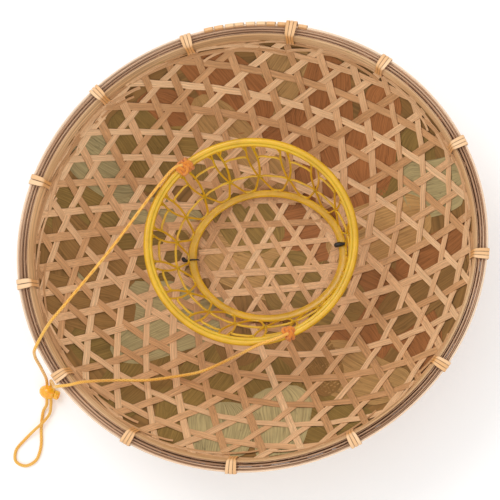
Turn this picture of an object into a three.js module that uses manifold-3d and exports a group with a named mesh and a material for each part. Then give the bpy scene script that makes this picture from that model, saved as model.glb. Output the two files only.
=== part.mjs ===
// A woven bamboo hat lying on its crown with its hollow up: two woven shells with a leaf lining
// between them, a bound rim of split hoops, a pierced plastic head ring and a loose chin cord.
// Millimetres, +Z up. The origin is the middle of the flat of the crown that the hat rests on.

import * as THREE from 'three';
import { mergeVertices } from 'three/addons/utils/BufferGeometryUtils.js';
import Module from 'manifold-3d';

const wasm = await Module();
wasm.setup();

// Shell of the hat: a flat crown that curves up as a power of the radius, then a steeper rim.
const CROWN_FLAT = 18;
const EDGE_RADIUS = 191.25;
const EDGE_HEIGHT = 121;
const RIM_SLOPE = THREE.MathUtils.degToRad(78);
const STRAIGHT_EDGE = 12.5;
const BOWL_POWER = 2.36;
const BOWL_RADII = [46, 72, 99, 127, 157];
const BOWL_SPAN = EDGE_RADIUS - STRAIGHT_EDGE / Math.tan(RIM_SLOPE) - CROWN_FLAT;
const BOWL_TOP = EDGE_HEIGHT - STRAIGHT_EDGE;
const ROUND_SEGMENTS = 32;
const GAP = 0.3;
const FLATNESS = 0.03;

// The rim is slightly oval, and its long axis is turned from +X.
const OVAL_STRETCH = 0.027;
const OVAL_TURN = THREE.MathUtils.degToRad(14.7);

// Layers of the shell, as depths from the outer face towards the hollow.
const SHELL_LAYERS = [
  { name: 'outer_weave', from: 0, to: 1.3, colour: 0xc79f6b },
  { name: 'leaf_lining', from: 1.6, to: 2.4, colour: 0x8b7c52 },
  { name: 'inner_weave', from: 2.7, to: 4.0, colour: 0xd2a676 },
];

// Hoops of the rim, from the outside in: depths as above, and heights above the shell's edge.
const RIM_HOOPS = [
  { name: 'outer_hoop', from: -2.9, to: -1.6, low: -6.5, high: 5.4, colour: 0xdcb68c },
  { name: 'core_strip_outer', from: -1.3, to: -0.3, low: -6, high: 4.6, colour: 0x8a6650 },
  { name: 'core_strip_inner', from: 4.3, to: 5.2, low: -6, high: 4.8, colour: 0x9b7457 },
  { name: 'inner_hoop', from: 5.5, to: 6.9, low: -7.4, high: 4.9, colour: 0xc9a26a },
];

// Splice of the outer hoop, lashed with a close spiral of thin strip.
const SPLICE = { start: 76, end: 102, back: 1.5, lip: 0.8, colour: 0xe2b892 };

// Rim bindings: a closed band round all the hoops, through a slot in the shell.
const BINDING = { width: 9.5, thick: 1.2, room: 0.6, corner: 1.4, innerCorner: 0.1, colour: 0xe0ab64 };
const BINDING_AZIMUTHS = [
  80, 54.5, 25.4, -4.3, -34.1, -62.7, -93.5, -120.6, -144.9, -171.3, 160.9, 133, 106.7,
];
const SLOT_REACH = 10;

// Pierced head ring: a flat small ring on the crown, a lattice wall and a thick large ring.
const RING = {
  base: 12.8,
  repeats: 18,
  phase: 12,
  segments: 36,
  flangeInner: 59.5,
  flangeOuter: 66,
  flangeThick: 1.8,
  wallThick: 1.8,
  wallTop: 69.6,
  wallTopRadius: 90.4,
  rimHalf: 2.9,
  rimInset: 1,
  rimBevel: 1.74,
  colour: 0xdba61c,
};
const SMALL_RING = { x: 2.7, y: 5.3, oval: 0.094 };
const LARGE_RING = { x: -3.9, y: 8.5, oval: 0.016 };

// Openings of one lattice repeat, in mm along the ring and up the wall. Each outline is given by its
// right half, from bottom to top, and is mirrored. A share of 0 is at a node and 0.5 is midway.
const LATTICE_GAPS = {
  foot: { share: 0, half: [[6.2, 0.9], [0, 18]] },
  petal: { share: 0, half: [[0, 26], [2.8, 38], [2.6, 52], [0, 62.5]] },
  cup: { share: 0.5, half: [[3.4, 2.2], [10.4, 20.6]] },
  window: { share: 0.5, half: [[11, 23.4], [9.4, 47.6]] },
  arch: { share: 0.5, half: [[9.9, 49.8], [10.6, 58], [6, 65.6]] },
};
const GAP_REACH = 9;

// Chin cord: knotted to the large ring at two places, over the rim and down to the ground.
const CORD_RADIUS = 1.4;
const CORD_SIDES = 8;
const STEPS_PER_POINT = 2;
const CORD_COLOUR = 0xe8a636;
const KNOT = { radial: 6.6, around: 3.4, tall: 6.2, lift: 0.6, colour: 0xe0861c };
const KNOTS = [
  { name: 'cord_knot_left', azimuth: 130 },
  { name: 'cord_knot_right', azimuth: -68 },
];

// Sliding lock on the ground: an egg-shaped body with two bores for the cord and a push button.
const LOCK = { x: -200.9, y: -116, half: 8.2, radius: 6.4, flat: 6.4, turn: -18, colour: 0xe3a52a };
const BORES = { radius: 1.75, offsets: [-1.0, 2.9] };
const BUTTON = { radius: 4.2, length: 3.8, corner: 0.7, colour: 0xe6b64a };

// Black ties that hold the small ring down on the weave.
const TIES = [
  { name: 'tie_left', azimuth: 183 },
  { name: 'tie_right', azimuth: 9 },
];
const TIE_RADIUS = 0.8;
const TIE_SIDES = 6;
const TIE_COLOUR = 0x17140f;
// A tie's points: in mm from the small ring's inner edge and from its upper face.
const TIE_POINTS = [[-1.7, -2.2], [-1.4, 0.6], [1, 3.3], [5.5, 4], [8.5, 3.6], [10.5, 2.6]];

const hat = new THREE.Group();
const rad = THREE.MathUtils.degToRad;

function finish(geometry) {
  const bare = new THREE.BufferGeometry();
  bare.setAttribute('position', geometry.getAttribute('position').clone());
  if (geometry.index) bare.setIndex(geometry.index.clone());
  const merged = mergeVertices(bare, 1e-4);
  const kept = [];
  const index = merged.index.array;
  for (let i = 0; i < index.length; i += 3) {
    const [a, b, c] = [index[i], index[i + 1], index[i + 2]];
    if (a !== b && b !== c && c !== a) kept.push(a, b, c);
  }
  merged.setIndex(kept);
  if (signedVolume(merged) < 0) {
    merged.setIndex(kept.map((_, i) => kept[i - (i % 3) + [0, 2, 1][i % 3]]));
  }
  return merged;
}

function signedVolume(geometry) {
  const at = geometry.getAttribute('position');
  const index = geometry.index.array;
  const [a, b, c] = [new THREE.Vector3(), new THREE.Vector3(), new THREE.Vector3()];
  let sum = 0;
  for (let i = 0; i < index.length; i += 3) {
    a.fromBufferAttribute(at, index[i]);
    b.fromBufferAttribute(at, index[i + 1]);
    c.fromBufferAttribute(at, index[i + 2]);
    sum += a.dot(b.cross(c)) / 6;
  }
  return sum;
}

function toSolid(geometry) {
  const clean = finish(geometry);
  return new wasm.Manifold(new wasm.Mesh({
    numProp: 3,
    vertProperties: new Float32Array(clean.getAttribute('position').array),
    triVerts: new Uint32Array(clean.index.array),
  }));
}

function toGeometry(solid) {
  const mesh = solid.getMesh();
  const geometry = new THREE.BufferGeometry();
  geometry.setAttribute('position', new THREE.BufferAttribute(mesh.vertProperties, 3));
  geometry.setIndex(new THREE.BufferAttribute(mesh.triVerts, 1));
  return geometry;
}

// Joins the flat triangles that cutting leaves behind.
function joinFlat(solid) {
  return toGeometry(toSolid(toGeometry(solid)).simplify(FLATNESS));
}

function add(name, geometry, colour, roughness) {
  const clean = finish(geometry);
  clean.computeVertexNormals();
  const material = new THREE.MeshStandardMaterial({ color: colour, roughness, metalness: 0 });
  const mesh = new THREE.Mesh(clean, material);
  mesh.name = name;
  hat.add(mesh);
}

// Changes every point of a geometry by a function of its place.
function reshape(geometry, change) {
  const at = geometry.getAttribute('position');
  const point = new THREE.Vector3();
  for (let i = 0; i < at.count; i += 1) {
    point.fromBufferAttribute(at, i);
    change(point);
    at.setXYZ(i, point.x, point.y, point.z);
  }
  return geometry;
}

const ovalMatrix = new THREE.Matrix4()
  .makeRotationZ(OVAL_TURN)
  .multiply(new THREE.Matrix4().makeScale(1 + OVAL_STRETCH, 1 - OVAL_STRETCH, 1))
  .multiply(new THREE.Matrix4().makeRotationZ(-OVAL_TURN));

function oval(geometry) {
  return geometry.applyMatrix4(ovalMatrix);
}

// A closed (radius, height) outline turned once about +Z.
function turned(outline, segments) {
  const points = outline.map(([r, z]) => new THREE.Vector2(r, z));
  if (outline[0][0] > 0) points.push(points[0].clone());
  return new THREE.LatheGeometry(points, segments).rotateX(Math.PI / 2);
}

function bowlHeight(r) {
  return BOWL_TOP * Math.max(0, (r - CROWN_FLAT) / BOWL_SPAN) ** BOWL_POWER;
}

function bowlSlope(r) {
  const share = Math.max(0, (r - CROWN_FLAT) / BOWL_SPAN);
  return Math.atan((BOWL_TOP * BOWL_POWER / BOWL_SPAN) * share ** (BOWL_POWER - 1));
}

// A point of the shell at radius r, at a depth from the outer face.
function bowlPoint(r, depth) {
  const slope = bowlSlope(r);
  return [r - depth * Math.sin(slope), bowlHeight(r) + depth * Math.cos(slope)];
}

// A point of the rim at a depth from the outer face and a height above the shell's edge.
function rimPoint(depth, height) {
  return [EDGE_RADIUS + height / Math.tan(RIM_SLOPE) - depth / Math.sin(RIM_SLOPE), EDGE_HEIGHT + height];
}

// How far a faceted ring lies inside its circle at an azimuth.
function facetInset(azimuth) {
  const step = 360 / ROUND_SEGMENTS;
  const past = ((azimuth % step) + step) % step;
  return Math.cos(rad(step / 2)) / Math.cos(rad(past - step / 2));
}

function shellLayer(layer) {
  const face = (depth) => [
    ...[CROWN_FLAT, ...BOWL_RADII].map((r) => bowlPoint(r, depth)),
    rimPoint(depth, -STRAIGHT_EDGE), rimPoint(depth, 0),
  ];
  const outside = face(layer.from);
  const inside = face(layer.to).reverse();
  return turned([[0, layer.from], ...outside, ...inside, [0, layer.to]], ROUND_SEGMENTS);
}

function insideSplice(azimuth) {
  return azimuth > SPLICE.start && azimuth < SPLICE.end;
}

// The band's outline in radius and height; grow widens it, as for its slot and its inner edge.
function bindingOutline(azimuth, grow, corner) {
  const outermost = RIM_HOOPS[0].from - (insideSplice(azimuth) ? GAP + SPLICE.back : 0);
  const lift = insideSplice(azimuth) ? GAP + SPLICE.lip : 0;
  const low = RIM_HOOPS[3].low - grow;
  const high = RIM_HOOPS[0].high + lift + grow;
  const out = outermost - grow;
  const inn = RIM_HOOPS[3].to + grow;
  return [
    rimPoint(out + corner, low), rimPoint(inn - corner, low), rimPoint(inn, low + corner),
    rimPoint(inn, high - corner), rimPoint(inn - corner, high), rimPoint(out + corner, high),
    rimPoint(out, high - corner), rimPoint(out, low + corner),
  ];
}

// Stands a flat (radius, height) outline up at an azimuth, as thick as width.
function standing(shape, width, azimuth) {
  return new THREE.ExtrudeGeometry(shape, { depth: width, bevelEnabled: false })
    .translate(0, 0, -width / 2)
    .rotateX(Math.PI / 2)
    .rotateZ(rad(azimuth));
}

function toVectors(points, azimuth) {
  const inset = facetInset(azimuth);
  return points.map(([r, z]) => new THREE.Vector2(r * inset, z));
}

function binding(azimuth) {
  const inner = bindingOutline(azimuth, BINDING.room, BINDING.innerCorner);
  const outer = bindingOutline(azimuth, BINDING.room + BINDING.thick, BINDING.corner);
  const shape = new THREE.Shape(toVectors(outer, azimuth));
  shape.holes.push(new THREE.Path(toVectors(inner, azimuth).reverse()));
  return standing(shape, BINDING.width, azimuth);
}

// The slot in the shell that a band's lower bar passes through.
function bindingSlot(azimuth) {
  const high = RIM_HOOPS[3].low - BINDING.room + GAP;
  const low = high - BINDING.thick - 2 * GAP;
  const corners = [
    rimPoint(SLOT_REACH, low), rimPoint(-SLOT_REACH, low),
    rimPoint(-SLOT_REACH, high), rimPoint(SLOT_REACH, high),
  ];
  return standing(new THREE.Shape(toVectors(corners, azimuth)), BINDING.width + 2 * GAP, azimuth);
}

function buildShell() {
  const slots = BINDING_AZIMUTHS.map((azimuth) => toSolid(bindingSlot(azimuth)));
  for (const layer of SHELL_LAYERS) {
    let solid = toSolid(shellLayer(layer));
    for (const slot of slots) solid = solid.subtract(slot);
    add(layer.name, oval(joinFlat(solid)), layer.colour, 0.7);
  }
}

function buildRim() {
  for (const hoop of RIM_HOOPS) {
    const outline = [
      rimPoint(hoop.to, hoop.low), rimPoint(hoop.from, hoop.low),
      rimPoint(hoop.from, hoop.high), rimPoint(hoop.to, hoop.high),
    ];
    add(hoop.name, oval(turned(outline, ROUND_SEGMENTS)), hoop.colour, 0.6);
  }
  add('splice_wrap', oval(toGeometry(spliceWrap())), SPLICE.colour, 0.6);
  BINDING_AZIMUTHS.forEach((azimuth, i) => {
    const name = `rim_binding_${String(i + 1).padStart(2, '0')}`;
    add(name, oval(binding(azimuth)), BINDING.colour, 0.5);
  });
}

// The lashing is a channel over the outside, top and bottom of the outer hoop.
function spliceWrap() {
  const hoop = RIM_HOOPS[0];
  const near = hoop.from - GAP;
  const back = near - SPLICE.back;
  const outline = [
    rimPoint(hoop.to, hoop.low - GAP - SPLICE.lip), rimPoint(back, hoop.low - GAP - SPLICE.lip),
    rimPoint(back, hoop.high + GAP + SPLICE.lip), rimPoint(hoop.to, hoop.high + GAP + SPLICE.lip),
    rimPoint(hoop.to, hoop.high + GAP), rimPoint(near, hoop.high + GAP),
    rimPoint(near, hoop.low - GAP), rimPoint(hoop.to, hoop.low - GAP),
  ];
  const reach = 2 * EDGE_RADIUS;
  const wedge = new THREE.Shape([
    new THREE.Vector2(0, 0),
    new THREE.Vector2(reach * Math.cos(rad(SPLICE.start)), reach * Math.sin(rad(SPLICE.start))),
    new THREE.Vector2(reach * Math.cos(rad(SPLICE.end)), reach * Math.sin(rad(SPLICE.end))),
  ]);
  const block = new THREE.ExtrudeGeometry(wedge, { depth: 2 * EDGE_HEIGHT, bevelEnabled: false });
  return toSolid(turned(outline, ROUND_SEGMENTS)).intersect(toSolid(block));
}

// Moves a point of the round head ring to where the leaning, pulled ring has it.
function lean(point) {
  const up = THREE.MathUtils.clamp((point.z - RING.base) / RING.wallTop, 0, 1);
  const stretch = THREE.MathUtils.lerp(SMALL_RING.oval, LARGE_RING.oval, up);
  point.x = point.x * (1 + stretch) + THREE.MathUtils.lerp(SMALL_RING.x, LARGE_RING.x, up);
  point.y = point.y * (1 - stretch) + THREE.MathUtils.lerp(SMALL_RING.y, LARGE_RING.y, up);
}

// The ring's section, with every face moved out by grow.
function ringOutline(grow) {
  const { flangeInner, flangeOuter, flangeThick, wallThick, wallTop, wallTopRadius } = RING;
  const { rimHalf, rimInset, rimBevel } = RING;
  const out = wallTopRadius + rimHalf - rimInset + grow;
  const inn = wallTopRadius - wallThick - rimHalf - rimInset - grow;
  const wallInn = wallTopRadius - wallThick - grow;
  const top = wallTop + 2 * rimHalf + grow;
  return [
    [flangeInner - grow, -grow], [flangeOuter + grow, -grow], [flangeOuter + grow, flangeThick],
    [wallTopRadius + grow, wallTop], [out, wallTop + rimBevel], [out, top - rimBevel],
    [out - rimBevel, top], [inn + rimBevel, top], [inn, top - rimBevel], [inn, wallTop + rimBevel],
    [wallInn, wallTop], [flangeOuter - wallThick - grow, flangeThick + grow],
    [flangeInner - grow, flangeThick + grow],
  ].map(([r, z]) => [r, z + RING.base]);
}

// One opening of the lattice, as a prism that crosses the wall.
function latticeGap(half, azimuth) {
  const rise = RING.wallTop - RING.flangeThick;
  const run = RING.wallTopRadius - RING.flangeOuter;
  const left = half.filter(([x]) => x > 0).map(([x, y]) => [-x, y]).reverse();
  const outline = [...half, ...left].map(([x, y]) => new THREE.Vector2(x, y));
  const options = { depth: 2 * GAP_REACH, bevelEnabled: false };
  return new THREE.ExtrudeGeometry(new THREE.Shape(outline), options)
    .translate(0, 0, -GAP_REACH)
    .rotateX(Math.PI / 2 + Math.atan2(run, rise))
    .translate(0, -(RING.flangeOuter - RING.wallThick / 2), RING.base + RING.flangeThick)
    .rotateZ(rad(azimuth + 90));
}

// The ring's body before its openings are cut, turned so that a corner runs up the middle of each opening.
function ringBlank(grow) {
  return turned(ringOutline(grow), RING.segments).rotateZ(rad(RING.phase));
}

function buildHeadRing() {
  let solid = toSolid(ringBlank(0));
  const step = 360 / RING.repeats;
  for (let i = 0; i < RING.repeats; i += 1) {
    for (const gap of Object.values(LATTICE_GAPS)) {
      solid = solid.subtract(toSolid(latticeGap(gap.half, RING.phase + (i + gap.share) * step)));
    }
  }
  add('head_ring', reshape(joinFlat(solid), lean), RING.colour, 0.35);
}

// A smooth line through points, with the same number of steps between each two.
class PointCurve extends THREE.CatmullRomCurve3 {
  getPointAt(t, target) {
    return this.getPoint(t, target);
  }

  getTangentAt(t, target) {
    return this.getTangent(t, target);
  }
}

// A tube of round section along a list of points.
function tube(points, radius, sides, stepsPerPoint) {
  const section = new THREE.Shape();
  for (let i = 0; i < sides; i += 1) {
    const turn = (2 * Math.PI * i) / sides;
    const [x, y] = [radius * Math.cos(turn), radius * Math.sin(turn)];
    if (i === 0) section.moveTo(x, y);
    else section.lineTo(x, y);
  }
  const path = new PointCurve(points.map((p) => new THREE.Vector3(...p)), false, 'centripetal');
  const steps = (points.length - 1) * stepsPerPoint;
  return new THREE.ExtrudeGeometry(section, { steps, bevelEnabled: false, extrudePath: path });
}

// Each knot is a lump of cord over the large ring, hollowed to sit round it.
function knotShape(azimuth, grow) {
  const r = RING.wallTopRadius - RING.rimInset - RING.wallThick / 2;
  const [cos, sin] = [Math.cos(rad(azimuth)), Math.sin(rad(azimuth))];
  const centre = new THREE.Vector3(r * cos, r * sin, RING.base + RING.wallTop);
  lean(centre);
  return new THREE.SphereGeometry(1, 10, 7)
    .scale(KNOT.radial + grow, KNOT.around + grow, KNOT.tall + grow)
    .rotateZ(rad(azimuth))
    .translate(centre.x, centre.y, centre.z + RING.rimHalf + KNOT.lift);
}

function buildKnots() {
  const ring = toSolid(reshape(ringBlank(GAP), lean));
  for (const knot of KNOTS) {
    add(knot.name, toGeometry(toSolid(knotShape(knot.azimuth, 0)).subtract(ring)), KNOT.colour, 0.6);
  }
}

// The cord's middle line, from the left knot over the rim to the lock, round the loop, through the
// lock again, over the rim and along the weave to the right knot.
const CORD_ROUTE = [
  [-62.4, 76.0, 91.0], [-69.0, 74.1, 90.6], [-82.7, 59.3, 90.8], [-123.7, 0.5, 102.5], [-159.5, -49.0, 119.5],
  [-169.2, -62.8, 125.6], [-173.4, -70.7, 129.2], [-177.6, -77.8, 128.8], [-182.0, -85.9, 127.6],
  [-188.4, -90.4, 104.0], [-194.4, -97.8, 58.0], [-201.9, -106.4, 7.4], [-201.9, -110.2, 6.4],
  [-201.9, -121.8, 6.4], [-202.5, -127.5, 4.8], [-206.2, -133.0, 1.8], [-207.9, -147.0, 1.6],
  [-208.0, -166.0, 1.6], [-212.6, -178.0, 1.6], [-222.5, -182.8, 1.6], [-231.4, -178.3, 1.6],
  [-231.2, -168.7, 1.6], [-222.8, -158.8, 2.0], [-213.3, -150.3, 4.8], [-206.3, -144.2, 5.2],
  [-200.0, -135.7, 3.4], [-198.0, -127.0, 6.2], [-198.0, -121.8, 6.4], [-198.0, -110.4, 6.4],
  [-197.8, -106.4, 8.8], [-184.2, -113.4, 50.0], [-168.6, -116.8, 104.0], [-161.4, -118.3, 128.0],
  [-151.2, -117.2, 128.8], [-143.1, -115.4, 129.8], [-136.1, -114.1, 122.8], [-118.0, -111.2, 90.5],
  [-97.3, -110.2, 71.6], [-75.6, -106.2, 55.0], [-53.9, -101.6, 46.0], [-24.7, -91.6, 62.0],
  [-6.4, -86.4, 85.6], [3.4, -82.4, 91.4], [23.3, -75.3, 91.0], [29.9, -72.5, 91.0],
];

function buildCord() {
  let cord = toSolid(tube(CORD_ROUTE, CORD_RADIUS, CORD_SIDES, STEPS_PER_POINT));
  for (const knot of KNOTS) cord = cord.subtract(toSolid(knotShape(knot.azimuth, GAP)));
  add('chin_cord', toGeometry(cord), CORD_COLOUR, 0.7);
}

// Stands a shape turned about its own axis on the ground, along the lock's axis.
function alongLock(profile, segments) {
  return new THREE.LatheGeometry(profile.map(([r, along]) => new THREE.Vector2(r, along)), segments)
    .rotateZ(-Math.PI / 2)
    .rotateZ(rad(LOCK.turn))
    .translate(LOCK.x, LOCK.y, LOCK.radius);
}

function buildLock() {
  const egg = [];
  const turns = 6;
  const last = Math.asin(LOCK.flat / LOCK.half);
  for (let i = 0; i <= turns; i += 1) {
    const turn = THREE.MathUtils.lerp(-Math.PI / 2, last, i / turns);
    egg.push([i === 0 ? 0 : LOCK.radius * Math.cos(turn), LOCK.half * Math.sin(turn)]);
  }
  let body = toSolid(alongLock([...egg, [0, LOCK.flat]], 14));
  for (const offset of BORES.offsets) {
    const bore = new THREE.CylinderGeometry(BORES.radius, BORES.radius, 4 * LOCK.radius, 10);
    body = body.subtract(toSolid(bore.translate(LOCK.x + offset, LOCK.y, LOCK.radius)));
  }
  add('cord_lock_body', toGeometry(body), LOCK.colour, 0.4);

  const { radius, length, corner } = BUTTON;
  const start = LOCK.flat + GAP;
  const profile = [
    [0, start], [radius - corner, start], [radius, start + corner],
    [radius, start + length - corner], [radius - corner, start + length], [0, start + length],
  ];
  add('cord_lock_button', alongLock(profile, 12), BUTTON.colour, 0.3);
}

// A tie is a staple of black wire over the small ring, through the lattice, down to the weave.
function buildTies() {
  const floor = RING.base + RING.flangeThick;
  for (const tie of TIES) {
    const [cos, sin] = [Math.cos(rad(tie.azimuth)), Math.sin(rad(tie.azimuth))];
    const points = TIE_POINTS.map(([out, up]) => {
      const r = RING.flangeInner + out;
      const point = new THREE.Vector3(r * cos, r * sin, floor + up);
      lean(point);
      return point.toArray();
    });
    add(tie.name, tube(points, TIE_RADIUS, TIE_SIDES, 1), TIE_COLOUR, 0.5);
  }
}

buildShell();
buildRim();
buildHeadRing();
buildKnots();
buildCord();
buildLock();
buildTies();

export default hat;
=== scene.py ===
import math
import random
from cmath import rect

import bmesh
import bpy
import numpy as np
from mathutils import Matrix, Vector


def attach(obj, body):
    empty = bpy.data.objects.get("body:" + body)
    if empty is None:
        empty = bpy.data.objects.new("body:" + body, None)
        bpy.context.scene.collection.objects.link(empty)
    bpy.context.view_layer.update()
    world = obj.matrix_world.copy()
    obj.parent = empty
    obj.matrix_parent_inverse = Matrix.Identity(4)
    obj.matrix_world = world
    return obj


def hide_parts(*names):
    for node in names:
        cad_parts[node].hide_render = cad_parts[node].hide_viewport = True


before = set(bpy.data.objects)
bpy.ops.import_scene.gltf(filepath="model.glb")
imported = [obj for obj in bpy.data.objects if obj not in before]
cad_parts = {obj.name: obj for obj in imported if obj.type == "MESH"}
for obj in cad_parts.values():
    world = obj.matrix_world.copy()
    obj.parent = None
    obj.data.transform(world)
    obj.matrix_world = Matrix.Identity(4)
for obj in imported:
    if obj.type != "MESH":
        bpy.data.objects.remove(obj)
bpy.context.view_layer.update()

# Shell of the hat, in metres, as the solids have it.
CROWN_FLAT = 0.018
EDGE_RADIUS = 0.19125
EDGE_HEIGHT = 0.121
RIM_SLOPE = math.radians(78)
STRAIGHT_EDGE = 0.0125
BOWL_POWER = 2.36
OVAL_STRETCH = 0.027
OVAL_TURN = math.radians(14.7)
BOWL_TOP = EDGE_HEIGHT - STRAIGHT_EDGE
BOWL_RADIUS = EDGE_RADIUS - STRAIGHT_EDGE / math.tan(RIM_SLOPE)
SPAN = BOWL_RADIUS - CROWN_FLAT
EDGE_BEND = 0.0015

# Head ring: radii and heights before it leans.
RING_BASE = 0.0128
RING_REPEATS = 18
RING_PHASE = 12
FLANGE_INNER = 0.0595
FLANGE_OUTER = 0.066
FLANGE_THICK = 0.0018
WALL_TOP = 0.0696
WALL_TOP_RADIUS = 0.0904
WALL_THICK = 0.0018
SMALL_RING = {"x": 0.0027, "y": 0.0053, "oval": 0.094}
LARGE_RING = {"x": -0.0039, "y": 0.0085, "oval": 0.016}

# Steps round the rim's strips and round the head ring.
ROUND_STEPS = 144

# Cord: its route as the solids have it.
CORD_RADIUS = 0.0014
CORD_ROUTE = [
    (-0.0624, 0.0760, 0.0910), (-0.0690, 0.0741, 0.0906), (-0.0827, 0.0593, 0.0908),
    (-0.1237, 0.0005, 0.1025), (-0.1595, -0.0490, 0.1195), (-0.1692, -0.0628, 0.1256),
    (-0.1734, -0.0707, 0.1292), (-0.1776, -0.0778, 0.1288), (-0.1820, -0.0859, 0.1276),
    (-0.1884, -0.0904, 0.1040), (-0.1944, -0.0978, 0.0580), (-0.2019, -0.1064, 0.0074),
    (-0.2019, -0.1102, 0.0064), (-0.2019, -0.1218, 0.0064), (-0.2025, -0.1275, 0.0048),
    (-0.2062, -0.1330, 0.0018), (-0.2079, -0.1470, 0.0016), (-0.2080, -0.1660, 0.0016),
    (-0.2126, -0.1780, 0.0016), (-0.2225, -0.1828, 0.0016), (-0.2314, -0.1783, 0.0016),
    (-0.2312, -0.1687, 0.0016), (-0.2228, -0.1588, 0.0020), (-0.2133, -0.1503, 0.0048),
    (-0.2063, -0.1442, 0.0052), (-0.2000, -0.1357, 0.0034), (-0.1980, -0.1270, 0.0062),
    (-0.1980, -0.1218, 0.0064), (-0.1980, -0.1104, 0.0064), (-0.1978, -0.1064, 0.0088),
    (-0.1842, -0.1134, 0.0500), (-0.1686, -0.1168, 0.1040), (-0.1614, -0.1183, 0.1280),
    (-0.1512, -0.1172, 0.1288), (-0.1431, -0.1154, 0.1298), (-0.1361, -0.1141, 0.1228),
    (-0.1180, -0.1112, 0.0905), (-0.0973, -0.1102, 0.0716), (-0.0756, -0.1062, 0.0550),
    (-0.0539, -0.1016, 0.0460), (-0.0247, -0.0916, 0.0620), (-0.0064, -0.0864, 0.0856),
    (0.0034, -0.0824, 0.0914), (0.0233, -0.0753, 0.0910), (0.0299, -0.0725, 0.0910),
]

# Camera: over the hollow, a little to its lower right. The lamps aim at the hat's middle.
EYE = Vector((0.190067, -0.207420, 1.549403))
AIM = Vector((0.001377, -0.005074, 0.126044))
CAMERA_RIGHT = Vector((0.99133, 0.0, -0.13142))
CAMERA_LENS = 124.2
SENSOR = 36.0
LAMP_AIM = Vector((0, 0, 0.05))


# Camera, light and floor

def add_camera():
    back = (EYE - AIM).normalized()
    up = back.cross(CAMERA_RIGHT).normalized()
    right = up.cross(back)
    turn = Matrix((right, up, back)).transposed()
    data = bpy.data.cameras.new("camera")
    data.lens = CAMERA_LENS
    data.sensor_width = SENSOR
    data.clip_end = 20
    camera = bpy.data.objects.new("camera", data)
    camera.matrix_world = Matrix.Translation(EYE) @ turn.to_4x4()
    bpy.context.scene.collection.objects.link(camera)
    bpy.context.scene.camera = camera


def add_lamp(name, place, size, power, colour):
    data = bpy.data.lights.new(name, "AREA")
    data.shape = "DISK"
    data.size = size
    data.energy = power
    data.color = colour
    lamp = bpy.data.objects.new(name, data)
    lamp.location = place
    aim = LAMP_AIM - Vector(place)
    lamp.rotation_mode = "QUATERNION"
    lamp.rotation_quaternion = aim.to_track_quat("-Z", "Y")
    bpy.context.scene.collection.objects.link(lamp)


def add_sky(strength):
    world = bpy.data.worlds.new("studio")
    world.use_nodes = True
    sky = world.node_tree.nodes["Background"]
    sky.inputs["Color"].default_value = (1, 1, 1, 1)
    sky.inputs["Strength"].default_value = strength
    bpy.context.scene.world = world
    bpy.context.scene.view_settings.view_transform = "Standard"


# Shader values

class Value:
    """A socket of a material's nodes, which Python's operators reckon with."""

    def __init__(self, tree, socket):
        self.tree = tree
        self.socket = socket

    def node(self, kind, settings=None, inputs=None, out=0):
        """A new node: its settings first, then its sockets' values or links."""
        made = self.tree.nodes.new(kind)
        for name, value in (settings or {}).items():
            if name == "stops":
                fill_ramp(made.color_ramp, value)
            else:
                setattr(made, name, value)
        for name, value in (inputs or {}).items():
            if isinstance(value, Value):
                self.tree.links.new(value.socket, made.inputs[name])
            else:
                made.inputs[name].default_value = value
        return Value(self.tree, made.outputs[out])

    def math(self, operation, *others):
        return self.node("ShaderNodeMath", {"operation": operation}, dict(enumerate([self, *others])))

    def __add__(self, other):
        return self.math("ADD", other)

    def __radd__(self, other):
        return self.math("ADD", other)

    def __sub__(self, other):
        return self.math("SUBTRACT", other)

    def __rsub__(self, other):
        return (self * -1).math("ADD", other)

    def __mul__(self, other):
        return self.math("MULTIPLY", other)

    def __rmul__(self, other):
        return self.math("MULTIPLY", other)


def fill_ramp(ramp, stops):
    while len(ramp.elements) < len(stops):
        ramp.elements.new(1)
    for element, (place, colour) in zip(ramp.elements, stops):
        element.position = place
        element.color = (*colour, 1)


def start_material(name, **constants):
    """A material, its surface shader and a value to make other nodes from."""
    material = bpy.data.materials.new(name)
    material.use_nodes = True
    tree = material.node_tree
    shader = tree.nodes["Principled BSDF"]
    for socket, value in constants.items():
        shader.inputs[socket.replace("_", " ")].default_value = value
    place = Value(tree, tree.nodes.new("ShaderNodeTexCoord").outputs["Object"])
    return material, shader, place


def feed(shader, place, colour=None, roughness=None, bump=None, strength=0.3, distance=0.0005):
    links = place.tree.links
    if colour is not None:
        links.new(colour.socket, shader.inputs["Base Color"])
    if roughness is not None:
        links.new(roughness.socket, shader.inputs["Roughness"])
    if bump is not None:
        bumped = place.node(
            "ShaderNodeBump", inputs={"Strength": strength, "Distance": distance, "Height": bump}
        )
        links.new(bumped.socket, shader.inputs["Normal"])


def mix(factor, first, second):
    """Two colours, or a colour and a value, mixed."""
    ends = {6: (*first, 1) if isinstance(first, tuple) else first}
    ends[7] = (*second, 1) if isinstance(second, tuple) else second
    return factor.node("ShaderNodeMix", {"data_type": "RGBA"}, {0: factor, **ends}, out=2)


def times(colour, shade):
    """A colour made lighter or darker by a value."""
    grey = shade.node("ShaderNodeCombineColor", inputs={0: shade, 1: shade, 2: shade})
    settings = {"data_type": "RGBA", "blend_type": "MULTIPLY"}
    return colour.node("ShaderNodeMix", settings, {0: 1.0, 6: colour, 7: grey}, out=2)


def noise(where, scale, detail=2.0, rough=0.5):
    inputs = {"Vector": where, "Scale": scale, "Detail": detail, "Roughness": rough}
    return where.node("ShaderNodeTexNoise", inputs=inputs)


def between(value, low, high):
    """0 below low, 1 above high and smooth from one to the other."""
    return value.node(
        "ShaderNodeMapRange", {"interpolation_type": "SMOOTHSTEP"}, {0: value, 1: low, 2: high}
    )


def chance(number, seed):
    """A number from 0 to 1 for each whole number."""
    whole = (number + seed).math("FLOOR") + 0.37 * seed
    return whole.node("ShaderNodeTexWhiteNoise", {"noise_dimensions": "1D"}, {"W": whole})


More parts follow.
